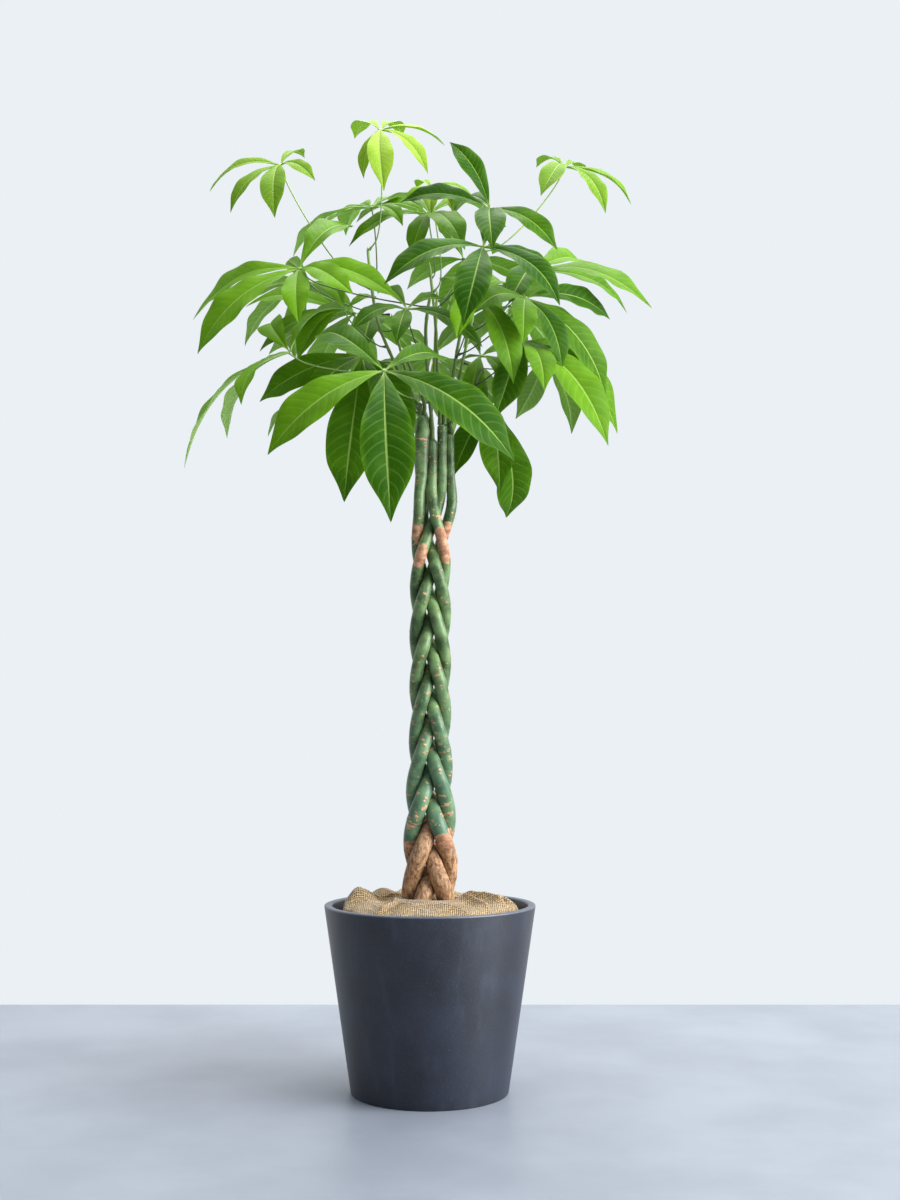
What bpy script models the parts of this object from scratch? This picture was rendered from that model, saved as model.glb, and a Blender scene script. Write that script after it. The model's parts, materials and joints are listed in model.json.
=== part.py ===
"""A plaited money tree in a round planter, about 1.7 m tall.

Metres, +Z up. The origin is the middle of the planter's foot, and -Y is the front.
Five stems are plaited round one another and stand in the soil of a nursery pot. The nursery pot
rests in the planter under a burlap cover. Green shoots grow from the stems' cut tops, and each
leaf is one petiole with a fan of leaflets. Nothing here moves, and nothing is fastened.
"""

import math

import bmesh
import bpy
import numpy as np

MM = 0.001
GAP = 0.3 * MM

# Planter
PLANTER_HEIGHT = 310 * MM
PLANTER_RIM_RADIUS = 180 * MM
PLANTER_FOOT_RADIUS = 133 * MM
PLANTER_WALL = 13 * MM
PLANTER_FLOOR = 14 * MM
PLANTER_EDGE = 2 * MM

# Nursery pot, which stands on the planter's floor
POT_FOOT_RADIUS = 108 * MM
POT_TOP_RADIUS = 144 * MM
POT_WALL = 2 * MM
POT_LIP = 5 * MM
POT_LIP_DEPTH = 9 * MM
POT_BOTTOM = PLANTER_FLOOR + GAP
POT_TOP = 284 * MM

# Soil
SOIL_EDGE_HEIGHT = 278 * MM
SOIL_MIDDLE_HEIGHT = 288 * MM
WELL_CLEARANCE = 0.8 * MM

# Burlap cover, measured from the middle of the trunk
COVER_HOLE = (52 * MM, 46 * MM)
COVER_RADIUS = 157.5 * MM
COVER_EDGE_TOP = 301 * MM
COVER_MOUND = 19 * MM
COVER_HEM = 277 * MM
COVER_ROWS = (0, 0.2, 0.4, 0.6, 0.8, 0.94, 1)
COVER_OVER_LIP = 0.8
# Each fold: direction in degrees, distance from the middle, height, width along and across it, mm
COVER_FOLDS = (
    (176, 118, 15, 34, 20),
    (112, 112, 10, 60, 16),
    (250, 100, 6, 50, 18),
    (322, 108, 9, 46, 15),
    (20, 116, 8, 40, 16),
)

# Plait: each stem weaves across the trunk and back once in each turn
STEM_COUNT = 5
STEM_FOOT = 205 * MM
TURN_HEIGHT = 435 * MM
CROSSING_HEIGHT = 454 * MM
CROSSING_PHASE = 12
STRAIGHT_BELOW = 312 * MM
STRAIGHT_BLEND = 6 * MM
SIDE_RIPPLE = -0.05
SIDE_WIDEST = 1.05
DEPTH_RIPPLE = 0.225
DEPTH_DEEPEST = 1.08325
# How far the stems' centres swing at each height: height, half width, half depth, mm
PLAIT_SWING = (
    (300, 33.5, 27.0),
    (384, 33.0, 26.5),
    (450, 31.0, 25.0),
    (600, 25.0, 21.5),
    (750, 25.0, 21.5),
    (950, 25.5, 22.0),
)
# Radius of each stem: height, radius, mm
STEM_RADIUS = (
    (285, 12.5),
    (330, 13.7),
    (384, 13.4),
    (450, 12.5),
    (600, 10.4),
    (750, 10.4),
    (850, 9.9),
    (950, 9.4),
    (1060, 8.6),
    (1160, 8.0),
)
# Above the plait each stem runs up to its own cut top: where it stands and how high, mm
PLAIT_END = 920 * MM
BUNDLE_START = 1050 * MM
STEM_TOPS = (
    (33, 9, 1126),
    (20, -3, 1140),
    (-15, -12, 1154),
    (-4, 11, 1136),
    (3, -10, 1112),
)
BUNDLE_ROOM = 1.02
CROSSING_ROOM = 0.36
SPREAD_ROUNDS = 60
STEM_SIDES = 8
STEM_RINGS = 44

SHOOT_SIDES = 6
SHOOT_RINGS = 9
SHOOT_RISE = 20 * MM
# Each shoot: the stem it grows from, its place on the stem's cut top, base and end radius,
# and the points it passes, mm
SHOOTS = {
    "shoot_left": (2, (-3.8, 1), 3.6, 2.6, ((-34, -14, 1190), (-93, -8, 1322), (-113, -2, 1462))),
    "shoot_front_left": (2, (3.8, -1), 3.4, 2.6, ((-22, -40, 1200), (-48, -68, 1262))),
    "shoot_centre": (1, (-3.8, 0), 3.6, 2.6, ((12, 8, 1230), (8, 22, 1330), (-4, 40, 1450))),
    "shoot_right": (1, (3.8, 0), 3.6, 2.6, ((38, -6, 1215), (52, -6, 1300), (98, 0, 1480))),
    "shoot_far_right": (0, (3.4, -2.4), 3.4, 2.6, ((62, 8, 1180), (92, 14, 1250))),
    "shoot_back_right": (0, (-3.4, 2.4), 3.4, 2.6, ((46, 48, 1220), (78, 88, 1370))),
    "shoot_front": (4, (0, 0), 3.8, 2.8, ((-2, -34, 1190), (-8, -62, 1290), (0, -76, 1350))),
    "shoot_back": (3, (4.0, 1.2), 3.2, 2.6, ((4, 70, 1230), (10, 112, 1420))),
    "shoot_back_left": (3, (-4.0, -1.2), 3.2, 2.6, ((-32, 46, 1200), (-74, 96, 1370))),
}

HUB_RADIUS = 5 * MM
HUB_RIB = 6 * MM
HUB_HALF_THICKNESS = 1.6 * MM
PETIOLE_RINGS = 6
PETIOLE_BASE_RADIUS = 2.3 * MM
PETIOLE_RADIUS = 1.3 * MM
NECK_RADIUS = 1.95 * MM
NECK_DROP = 6 * MM
PETIOLE_BEND = 0.16
# Along a leaflet: how far along, width, thickness above and below its midrib
LEAFLET_STATIONS = ((0.22, 0.55, 1.0), (0.52, 1.0, 0.8), (0.80, 0.66, 0.6))
LEAFLET_HALF_THICKNESS = 0.9 * MM
LEAFLET_BOW = 0.14
LEAFLET_FOLD = 0.07
MATURE_WIDTH = 0.32
YOUNG_WIDTH = 0.29

# Each leaf: young or not, its shoot, the height where its petiole leaves it, its hub, the way
# its upper side looks, and its leaflets' tips as measured from the hub, mm
LEAVES = (
    (True, "shoot_left", 1385, (-270, -15, 1610), (-2, -6, 7),
     ((-140, 90, -15), (-80, -40, -105), (5, -95, -135), (35, 90, 50), (70, -60, -55))),
    (True, "shoot_left", 1456, (-90, -15, 1675), (0, -5, 8),
     ((-55, 120, 35), (35, 115, 35), (115, 25, -20), (85, -30, -95), (10, -75, -145), (-30, 5, -90))),
    (True, "shoot_right", 1455, (240, 5, 1615), (2, -5, 8),
     ((-50, -100, -95), (-45, 90, 35), (65, -70, -115), (120, 5, -70), (40, 100, 20))),
    (False, "shoot_right", 1470, (105, -40, 1520), (0, -8, 6),
     ((-72, -5, 118), (115, -35, -90), (-160, 15, 15), (-65, 150, 45), (0, -125, -120))),
    (True, "shoot_centre", 1390, (0, 55, 1595), (0, -6, 8),
     ((-45, -35, -40), (0, -60, -75), (40, -30, -60), (75, 25, -5), (-30, 80, 30))),
    (False, "shoot_centre", 1420, (-5, 65, 1550), (0, -6, 8),
     ((-140, 100, 20), (-145, -20, -70), (-30, -65, -105), (65, -130, -115), (105, 100, 40),
      (-30, 125, 55))),
    (False, "shoot_front", 1325, (90, -140, 1415), (1, -7, 7),
     ((-35, -90, -165), (-165, -40, -80), (125, -40, -115), (130, 55, -55), (25, 140, 65))),
    (False, "shoot_back_right", 1330, (185, 45, 1435), (2, -6, 7),
     ((205, -65, -90), (180, 80, -55), (115, 185, 50), (-70, 140, 80), (-50, -120, -100))),
    (False, "shoot_right", 1265, (165, -65, 1350), (2, -8, 5),
     ((-95, -95, -60), (-35, 125, 35), (-10, -100, -110), (60, -35, -135), (145, 75, -160),
      (155, 80, -15))),
    (False, "shoot_front", 1330, (-225, -85, 1395), (-2, -8, 6),
     ((-200, 100, -60), (-170, -15, -155), (10, -90, -125), (100, -90, -75), (80, 140, 125),
      (170, -5, -55))),
    (False, "shoot_left", 1280, (-155, 25, 1355), (-2, -7, 7),
     ((-185, 45, 20), (-150, -15, -80), (-75, -85, -115), (-55, 120, 85), (55, 60, 40))),
    (False, "shoot_front_left", 1225, (-240, -100, 1245), (-5, -3, 7),
     ((-65, -95, -115), (-175, 5, -200), (-125, 140, -120), (90, 120, 110), (-45, 125, 85))),
    (False, "shoot_front_left", 1190, (-70, -260, 1170), (0, -8, 5),
     ((-180, -20, -140), (15, -80, -255), (205, -20, -150), (105, 150, 45), (-115, 120, 90))),
    (False, "shoot_back_left", 1270, (-125, 35, 1275), (0, -9, 4),
     ((-30, 10, -265), (-100, -65, -115), (-185, 20, -80), (90, -65, -185), (15, 135, 105))),
    (False, "shoot_front", 1250, (-40, -85, 1325), (0, -7, 7),
     ((-90, -55, -55), (130, -5, -70), (80, 95, 30), (-15, -75, -85), (-55, 90, 55))),
    (False, "shoot_far_right", 1240, (90, 70, 1285), (1, -7, 7),
     ((-55, 75, -25), (-20, -50, -110), (60, 75, 15), (-45, 105, 65), (40, -60, -65))),
    (False, "shoot_far_right", 1215, (160, -50, 1275), (2, -8, 5),
     ((140, -60, -195), (175, 100, -140), (-50, -65, -150), (30, -115, -115), (95, 190, -50),
      (-15, 115, 75))),
    (False, "shoot_right", 1260, (80, -95, 1345), (1, -8, 5),
     ((60, -40, -165), (-35, -80, -100), (-60, 110, 55), (55, 115, 50))),
    (False, "shoot_back_right", 1190, (105, 45, 1185), (1, -9, 4),
     ((35, 150, -180), (15, -90, -175), (-65, -10, -130), (65, 110, 80), (-45, 130, 65))),
    (False, "shoot_left", 1385, (-110, 60, 1560), (-2, -4, 9),
     ((-155, 110, -55), (60, -65, -60), (95, 165, 40), (-60, 175, 10), (-105, -15, -70))),
    (False, "shoot_back_left", 1170, (-175, 85, 1230), (-4, -3, 8),
     ((-130, 55, -80), (-90, 155, -40), (70, 170, -15), (85, 75, 50), (-50, -80, -75))),
    (False, "shoot_back_left", 1340, (-150, 190, 1400), (-3, 4, 8),
     ((-165, 20, -75), (-100, 120, -130), (20, 150, -125), (115, 70, -60), (-110, -65, 20))),
    (False, "shoot_back", 1280, (0, 240, 1330), (0, 6, 8),
     ((-150, 60, -90), (-80, 140, -130), (40, 150, -130), (140, 70, -90), (60, -90, 30), (-60, -80, 25))),
    (False, "shoot_back_right", 1350, (150, 210, 1420), (3, 5, 8),
     ((-90, 80, -60), (-10, 160, -120), (110, 120, -110), (150, 10, -70), (60, -100, 10))),
    (False, "shoot_back", 1400, (60, 170, 1500), (1, 4, 9),
     ((-110, 60, -40), (-40, 150, -80), (70, 140, -90), (140, 40, -60), (-50, -70, 40))),
    (False, "shoot_back", 1200, (-60, 210, 1250), (-1, 6, 7),
     ((-140, 15, -60), (-70, 90, -80), (50, 115, -80), (110, 35, -35), (-20, -135, 30))),
    (False, "shoot_back_right", 1270, (215, 215, 1320), (5, 4, 7),
     ((-50, 110, -95), (60, 90, -130), (115, -10, -90), (-95, 5, -35), (55, -150, -60))),
    (False, "shoot_back_left", 1370, (-230, 130, 1440), (-6, 2, 8),
     ((-125, -60, -70), (-125, 40, -110), (-40, 140, -110), (80, 135, -25), (-30, -95, 10))),
)


def cleared_scene():
    for obj in list(bpy.data.objects):
        bpy.data.objects.remove(obj, do_unlink=True)


def finish(name, colour, roughness):
    """A named material of one colour."""
    material = bpy.data.materials.new(name)
    material.use_nodes = True
    shader = material.node_tree.nodes["Principled BSDF"]
    shader.inputs["Base Color"].default_value = (*colour, 1)
    shader.inputs["Roughness"].default_value = roughness
    return material


def placed(name, points, faces, material, smooth=50):
    """A new object from points and faces, with its faces turned outwards."""
    mesh = bpy.data.meshes.new(name)
    mesh.from_pydata([tuple(point) for point in points], [], faces)
    body = bmesh.new()
    body.from_mesh(mesh)
    bmesh.ops.recalc_face_normals(body, faces=body.faces)
    if body.calc_volume(signed=True) < 0:
        bmesh.ops.reverse_faces(body, faces=body.faces)
    body.to_mesh(mesh)
    body.free()
    mesh.materials.append(material)
    mesh.shade_smooth()
    mesh.set_sharp_from_angle(angle=math.radians(smooth))
    obj = bpy.data.objects.new(name, mesh)
    bpy.context.collection.objects.link(obj)
    return obj


def turned(name, profile, steps, material):
    """A solid of revolution: the profile of (radius, height) spun once round the Z axis."""
    body = bmesh.new()
    points = [body.verts.new((radius, 0, height)) for radius, height in profile]
    edges = [body.edges.new(pair) for pair in zip(points, points[1:])]
    bmesh.ops.spin(body, geom=points + edges, axis=(0, 0, 1), cent=(0, 0, 0), steps=steps,
                   angle=math.tau, use_merge=True)
    bmesh.ops.remove_doubles(body, verts=body.verts, dist=0.01 * MM)
    mesh = bpy.data.meshes.new(name)
    body.to_mesh(mesh)
    body.free()
    points = [vertex.co.copy() for vertex in mesh.vertices]
    faces = [tuple(face.vertices) for face in mesh.polygons]
    return placed(name, points, faces, material)


def make_planter(material):
    """A straight taper, with a flat rim and a flat foot."""
    rim, foot = PLANTER_RIM_RADIUS, PLANTER_FOOT_RADIUS
    taper = (rim - foot) / PLANTER_HEIGHT
    inner_foot = foot + taper * PLANTER_FLOOR - PLANTER_WALL
    profile = (
        (0, 0),
        (foot - PLANTER_EDGE, 0),
        (foot, PLANTER_EDGE),
        (rim, PLANTER_HEIGHT - PLANTER_EDGE),
        (rim - PLANTER_EDGE, PLANTER_HEIGHT),
        (rim - PLANTER_WALL + PLANTER_EDGE, PLANTER_HEIGHT),
        (rim - PLANTER_WALL, PLANTER_HEIGHT - PLANTER_EDGE),
        (inner_foot, PLANTER_FLOOR),
        (0, PLANTER_FLOOR),
    )
    return turned("planter", profile, 48, material)


def pot_inner_radius(height):
    rise = (height - POT_BOTTOM) / (POT_TOP - POT_BOTTOM)
    return POT_FOOT_RADIUS + (POT_TOP_RADIUS - POT_FOOT_RADIUS) * rise - POT_WALL


def make_nursery_pot(material):
    """A thin plastic pot with a turned-out lip."""
    lip = POT_TOP_RADIUS + POT_LIP
    profile = (
        (0, POT_BOTTOM),
        (POT_FOOT_RADIUS, POT_BOTTOM),
        (pot_inner_radius(POT_TOP - POT_LIP_DEPTH) + POT_WALL, POT_TOP - POT_LIP_DEPTH),
        (lip, POT_TOP - POT_LIP_DEPTH),
        (lip, POT_TOP),
        (POT_TOP_RADIUS - POT_WALL, POT_TOP),
        (POT_FOOT_RADIUS - POT_WALL, POT_BOTTOM + POT_WALL),
        (0, POT_BOTTOM + POT_WALL),
    )
    return turned("nursery_pot", profile, 40, material)


def soil_height(radius):
    """Low mound: level in the middle, falling towards the nursery pot's wall."""
    fall = min(1, radius / pot_inner_radius(SOIL_EDGE_HEIGHT)) ** 3
    return SOIL_MIDDLE_HEIGHT + (SOIL_EDGE_HEIGHT - SOIL_MIDDLE_HEIGHT) * fall


def make_soil(material):
    """Fills the nursery pot, with a well for each stem's foot."""
    bottom = POT_BOTTOM + POT_WALL + GAP
    edge = pot_inner_radius(SOIL_EDGE_HEIGHT) - 3 * GAP
    profile = [(0, bottom), (pot_inner_radius(bottom) - 3 * GAP, bottom)]
    profile += [(edge * part, soil_height(edge * part)) for part in (1, 0.8, 0.55, 0)]
    soil = turned("soil", profile, 32, material)
    for stem in range(STEM_COUNT):
        x, y = stem_paths()[stem][0][:2]
        depth = SOIL_MIDDLE_HEIGHT - STEM_FOOT + GAP
        well = bmesh.new()
        bmesh.ops.create_cone(well, cap_ends=True, segments=16, depth=2 * depth,
                              radius1=stem_radius(0) + WELL_CLEARANCE,
                              radius2=stem_radius(0) + WELL_CLEARANCE)
        mesh = bpy.data.meshes.new(f"well_{stem + 1}")
        well.to_mesh(mesh)
        well.free()
        cutter = bpy.data.objects.new(mesh.name, mesh)
        cutter.location = (x, y, STEM_FOOT - GAP + depth)
        cutter.hide_render = True
        cutter.display_type = "WIRE"
        bpy.context.collection.objects.link(cutter)
        cut = soil.modifiers.new(mesh.name, "BOOLEAN")
        cut.operation = "DIFFERENCE"
        cut.object = cutter
    return soil


def cover_height(x, y, part):
    """Top of the burlap: a mound that falls to the edge, with soft folds that radiate from the trunk."""
    height = COVER_EDGE_TOP + COVER_MOUND * (1 - part ** 2.2)
    for direction, distance, rise, along, across in COVER_FOLDS:
        turn = math.radians(direction)
        out = x * math.cos(turn) + y * math.sin(turn) - distance * MM
        side = y * math.cos(turn) - x * math.sin(turn)
        height += rise * MM * math.exp(-((out / (along * MM)) ** 2) - (side / (across * MM)) ** 2)
    return height


def make_burlap_cover(material):
    """A closed ring of cloth on the soil, with the trunk through its hole and its hem tucked down."""
    around, across = 40, len(COVER_ROWS)
    top, bottom = [], []
    for step in range(around):
        turn = math.tau * step / around
        hole = 1 / math.hypot(math.cos(turn) / COVER_HOLE[0], math.sin(turn) / COVER_HOLE[1])
        for part in COVER_ROWS:
            radius = hole + (COVER_RADIUS - hole) * part
            x, y = radius * math.cos(turn), radius * math.sin(turn)
            top.append((x, y, cover_height(x, y, part)))
            under = POT_TOP if part >= COVER_OVER_LIP else soil_height(radius)
            bottom.append((x, y, COVER_HEM if part == 1 else under + 2 * GAP))
    count = len(top)
    faces = []
    for step in range(around):
        here, there = step * across, (step + 1) % around * across
        for row in range(across - 1):
            a, b, c, d = here + row, here + row + 1, there + row + 1, there + row
            faces += [(a, b, c, d), (count + d, count + c, count + b, count + a)]
        faces.append((here, there, count + there, count + here))
        a, b = here + across - 1, there + across - 1
        faces.append((b, a, count + a, count + b))
    return placed("burlap_cover", top + bottom, faces, material)


def table_value(table, column, height):
    """Straight-line reading of one column of a table whose first column is the height in mm."""
    rows = np.array(table, float)
    return float(np.interp(height / MM, rows[:, 0], rows[:, column])) * MM


def stem_radius(height):
    return table_value(STEM_RADIUS, 1, height)


def plait_point(stem, height):
    """Centre of a stem in the plait. Side to side it goes once in each turn, and front to back
    twice, so that it passes in front towards the right and behind on its way back, each stem a
    fifth of a turn after the last. Below the soil the turning dies away and the stems go straight down."""
    past = (height - STRAIGHT_BELOW) / STRAIGHT_BLEND
    turning = STRAIGHT_BELOW + STRAIGHT_BLEND * (past if past > 30 else math.log1p(math.exp(past)))
    turn = math.tau * ((turning - CROSSING_HEIGHT) / TURN_HEIGHT - stem / STEM_COUNT)
    turn += math.radians(CROSSING_PHASE)
    side = math.sin(turn) + SIDE_RIPPLE * math.sin(3 * turn)
    depth = math.sin(2 * turn) + DEPTH_RIPPLE * math.sin(4 * turn)
    return (table_value(PLAIT_SWING, 1, height) * side / SIDE_WIDEST,
            table_value(PLAIT_SWING, 2, height) * depth / DEPTH_DEEPEST)


def spread(centres, radii, room):
    """Pushes circles of one level apart, a little at a time, until they clear one another."""
    for _ in range(SPREAD_ROUNDS):
        for a in range(STEM_COUNT):
            for b in range(a + 1, STEM_COUNT):
                apart = centres[b] - centres[a]
                wanted = (radii[a] + radii[b]) * room + 2 * GAP
                short = wanted - np.linalg.norm(apart)
                if short > 0:
                    push = apart / np.linalg.norm(apart) * short / 2
                    centres[a] -= push
                    centres[b] += push
    return centres


def stem_levels():
    """Centres of all the stems at each level: the plait, easing over into the upright bundle."""
    levels = []
    highest = max(top[2] for top in STEM_TOPS) * MM
    for height in np.linspace(STEM_FOOT, highest, 2 * STEM_RINGS):
        ease = min(1, max(0, (height - PLAIT_END) / (BUNDLE_START - PLAIT_END)))
        ease = ease * ease * (3 - 2 * ease)
        plaited = np.array([plait_point(stem, height) for stem in range(STEM_COUNT)])
        upright = np.array([top[:2] for top in STEM_TOPS]) * MM
        centres = plaited * (1 - ease) + upright * ease
        if ease > 0:
            room = BUNDLE_ROOM + CROSSING_ROOM * 4 * ease * (1 - ease)
            centres = spread(centres, [stem_radius(height)] * STEM_COUNT, room)
        levels.append(np.column_stack([centres, [height] * STEM_COUNT]))
    return np.array(levels)


PATHS = []


def stem_paths():
    """Each stem's centre line from its foot to its cut top, worked out once."""
    if not PATHS:
        levels = stem_levels()
        for stem, top in enumerate(STEM_TOPS):
            heights = np.linspace(STEM_FOOT, top[2] * MM, STEM_RINGS)
            known = levels[:, stem]
            x, y = (np.interp(heights, known[:, 2], known[:, side]) for side in (0, 1))
            for line in (x, y):
                eased = (line[:-2] + 2 * line[1:-1] + line[2:]) / 4
                line[1:-1] = np.where(heights[1:-1] > PLAIT_END, eased, line[1:-1])
            x[-2], y[-2] = x[-1], y[-1]
            PATHS.append(np.column_stack([x, y, heights]))
    return PATHS


def carried_frames(path):
    """Two directions across a path at each of its points, carried along without twisting."""
    along = np.gradient(path, axis=0)
    along[0], along[-1] = path[1] - path[0], path[-1] - path[-2]
    along /= np.linalg.norm(along, axis=1)[:, None]
    first = np.array([1.0, 0, 0]) if abs(along[0][0]) < 0.8 else np.array([0, 1.0, 0])
    frames = []
    for way in along:
        first = first - way * (first @ way)
        first /= np.linalg.norm(first)
        frames.append((first, np.cross(way, first)))
    return frames


def tube(path, radii, sides):
    """Points and faces of a capped round tube along a path."""
    points, faces = [], []
    for centre, radius, (first, second) in zip(path, radii, carried_frames(path)):
        for side in range(sides):
            turn = math.tau * side / sides
            points.append(centre + radius * (math.cos(turn) * first + math.sin(turn) * second))
    for ring in range(len(path) - 1):
        for side in range(sides):
            after = (side + 1) % sides
            low, high = ring * sides, (ring + 1) * sides
            faces.append((low + side, low + after, high + after, high + side))
    last = (len(path) - 1) * sides
    faces.append(tuple(reversed(range(sides))))
    faces.append(tuple(range(last, last + sides)))
    return points, faces


def make_stems(material):
    for stem, path in enumerate(stem_paths()):
        radii = [stem_radius(point[2]) for point in path]
        points, faces = tube(path, radii, STEM_SIDES)
        placed(f"stem_{stem + 1}", points, faces, material)


def smooth_line(points, count):
    """A smooth curve through the given points (Catmull-Rom), read at even steps of its parameter."""
    knots = np.array(points, float)
    knots = np.vstack([2 * knots[0] - knots[1], knots, 2 * knots[-1] - knots[-2]])
    line = []
    for place in np.linspace(0, len(points) - 1, count):
        piece = min(int(place), len(points) - 2)
        t = place - piece
        a, b, c, d = knots[piece:piece + 4]
        line.append(0.5 * (2 * b + (c - a) * t + (2 * a - 5 * b + 4 * c - d) * t ** 2
                           + (3 * b - 3 * c + d - a) * t ** 3))
    return np.array(line)


def shoot_path(name):
    """Straight up off the stem's cut top, then through the shoot's own points."""
    stem, (dx, dy), _, _, route = SHOOTS[name]
    foot = stem_paths()[stem][-1] + np.array([dx * MM, dy * MM, GAP])
    rise = np.array([0, 0, SHOOT_RISE])
    path = smooth_line([foot, foot + rise, *(np.array(route) * MM)], SHOOT_RINGS)
    path[1][:2] = path[0][:2]
    return path


def make_shoots(material):
    for name, (_, _, base, end, _) in SHOOTS.items():
        path = shoot_path(name)
        radii = np.linspace(base, end, len(path)) * MM
        points, faces = tube(path, radii, SHOOT_SIDES)
        placed(name, points, faces, material)


def shoot_at(name, height):
    """Centre, direction and radius of a shoot at a height."""
    path = shoot_path(name)
    spot = min(int(np.searchsorted(path[:, 2], height)), len(path) - 1)
    low, high = path[spot - 1], path[spot]
    part = (height - low[2]) / (high[2] - low[2])
    _, _, base, end, _ = SHOOTS[name]
    radius = base + (end - base) * (spot - 1 + part) / (len(path) - 1)
    way = (high - low) / np.linalg.norm(high - low)
    return low + (high - low) * part, way, radius * MM


def unit(vector):
    return vector / np.linalg.norm(vector)


def across(vector, axis):
    return vector - axis * (vector @ axis)


def curve(points, places):
    """Bezier curve with two or three handles, read at the given places from 0 to 1."""
    line = []
    order = len(points) - 1
    for t in places:
        weights = [math.comb(order, k) * t ** k * (1 - t) ** (order - k) for k in range(order + 1)]
        line.append(sum(weight * point for weight, point in zip(weights, points)))
    return np.array(line)


def fan_frame(face, tips):
    """The fan's axis and two directions across it, its tips in order round it, and the first turn."""
    axis = unit(face)
    first = unit(across(np.array([1.0, 0.3, 0.1]), axis))
    second = np.cross(axis, first)
    turns = np.array([math.atan2(tip @ second, tip @ first) for tip in tips])
    order = np.argsort(turns)
    drift = turns[order] - math.tau / len(tips) * np.arange(len(tips))
    first_turn = math.atan2(np.sin(drift).sum(), np.cos(drift).sum())
    return axis, first, second, [tips[k] for k in order], first_turn


def petiole_rings(start, leave, hub, axis, first, turns):
    """Rings of points from the shoot up to the neck under the hub, with a corner at each turn."""
    reach = np.linalg.norm(hub - start)
    neck = hub - axis * NECK_DROP
    handles = [start, start + leave * reach * PETIOLE_BEND, neck - axis * reach * PETIOLE_BEND, neck]
    path = curve(handles, np.linspace(0, 1, PETIOLE_RINGS))
    radii = [PETIOLE_BASE_RADIUS] + [PETIOLE_RADIUS] * (PETIOLE_RINGS - 2) + [NECK_RADIUS]
    ways = np.gradient(path, axis=0)
    ways[0], ways[-1] = leave, axis
    rings = []
    for centre, way, radius in reversed(list(zip(path, ways, radii))):
        way = unit(way)
        first = unit(across(first, way))
        beside = np.cross(way, first)
        rings.append([centre + radius * (math.cos(turn) * first + math.sin(turn) * beside)
                      for turn in turns])
    return rings[::-1]


def add_leaflet(points, faces, ring, root, tip, axis, width):
    """A strip with a low ridge, from the four points of its root ring to its tip, bowed towards axis."""
    chord = tip - root
    length = np.linalg.norm(chord)
    bow = unit(across(axis, unit(chord)))
    middle = root + chord / 2 + bow * 2 * LEAFLET_BOW * length
    for place, broad, thick in LEAFLET_STATIONS:
        centre = curve([root, middle, tip], [place])[0]
        way = unit((middle - root) * (1 - place) + (tip - middle) * place)
        side = unit(np.cross(way, bow))
        top = np.cross(side, way)
        if side @ (points[ring[0]] - points[ring[2]]) < 0:
            side = -side
        half = width * length * broad / 2
        fold = top * half * 2 * LEAFLET_FOLD
        rise = top * LEAFLET_HALF_THICKNESS * thick
        section = [len(points) + k for k in range(4)]
        points += [centre + side * half + fold, centre + rise, centre - side * half + fold, centre - rise]
        faces += [(ring[k], ring[(k + 1) % 4], section[(k + 1) % 4], section[k]) for k in range(4)]
        ring = section
    points.append(tip)
    faces += [(ring[k], ring[(k + 1) % 4], len(points) - 1) for k in range(4)]


def leaf_shape(start, leave, hub, face, tips, width):
    """One solid: a petiole, a hub and a fan of leaflets.

    start is where the petiole leaves the shoot and leave its direction there. face is the way the
    upper side looks: the fan opens round it, and each leaflet bows towards it. The hub is a ring of
    corners, with one leaflet between each two, so that the leaflets and the petiole share its points.
    """
    axis, first, second, tips, first_turn = fan_frame(face, tips)
    count = len(tips)
    sector = math.tau / count
    between = [first_turn + sector * (k + 0.5) for k in range(count)]

    def around(turn, radius, lift):
        return hub + radius * (math.cos(turn) * first + math.sin(turn) * second) + axis * lift

    rings = petiole_rings(start, leave, hub, axis, first, between)
    points = [point for ring in rings for point in ring]
    faces = [tuple(range(count))]
    for low in range(0, (PETIOLE_RINGS - 1) * count, count):
        faces += [(low + k, low + (k + 1) % count, low + count + (k + 1) % count, low + count + k)
                  for k in range(count)]
    neck = (PETIOLE_RINGS - 1) * count
    corner, rib_top, rib_under = (neck + count * k for k in (1, 2, 3))
    points += [around(turn, HUB_RADIUS, 0) for turn in between]
    for lift in (HUB_HALF_THICKNESS, -HUB_HALF_THICKNESS):
        points += [around(first_turn + sector * k, HUB_RIB, lift) for k in range(count)]
    crown = []
    for k, tip in enumerate(tips):
        before = (k - 1) % count
        crown += [corner + before, rib_top + k]
        faces += [
            (corner + before, neck + before, rib_under + k),
            (neck + before, neck + k, rib_under + k),
            (neck + k, corner + k, rib_under + k),
        ]
        root = around(first_turn + sector * k, HUB_RIB, 0)
        root_ring = [corner + before, rib_top + k, corner + k, rib_under + k]
        add_leaflet(points, faces, root_ring, root, hub + tip, axis, width)
    faces.append(tuple(crown))
    return points, faces


def make_leaves(mature, young):
    for number, (is_young, shoot, height, hub, face, tips) in enumerate(LEAVES, 1):
        centre, way, radius = shoot_at(shoot, height * MM)
        hub = np.array(hub) * MM
        leave = unit(across(hub - centre, way))
        start = centre + leave * (radius + GAP)
        tips = [np.array(tip) * MM for tip in tips]
        width = YOUNG_WIDTH if is_young else MATURE_WIDTH
        points, faces = leaf_shape(start, leave, hub, np.array(face, float), tips, width)
        placed(f"leaf_{number:02d}", points, faces, young if is_young else mature)


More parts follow.
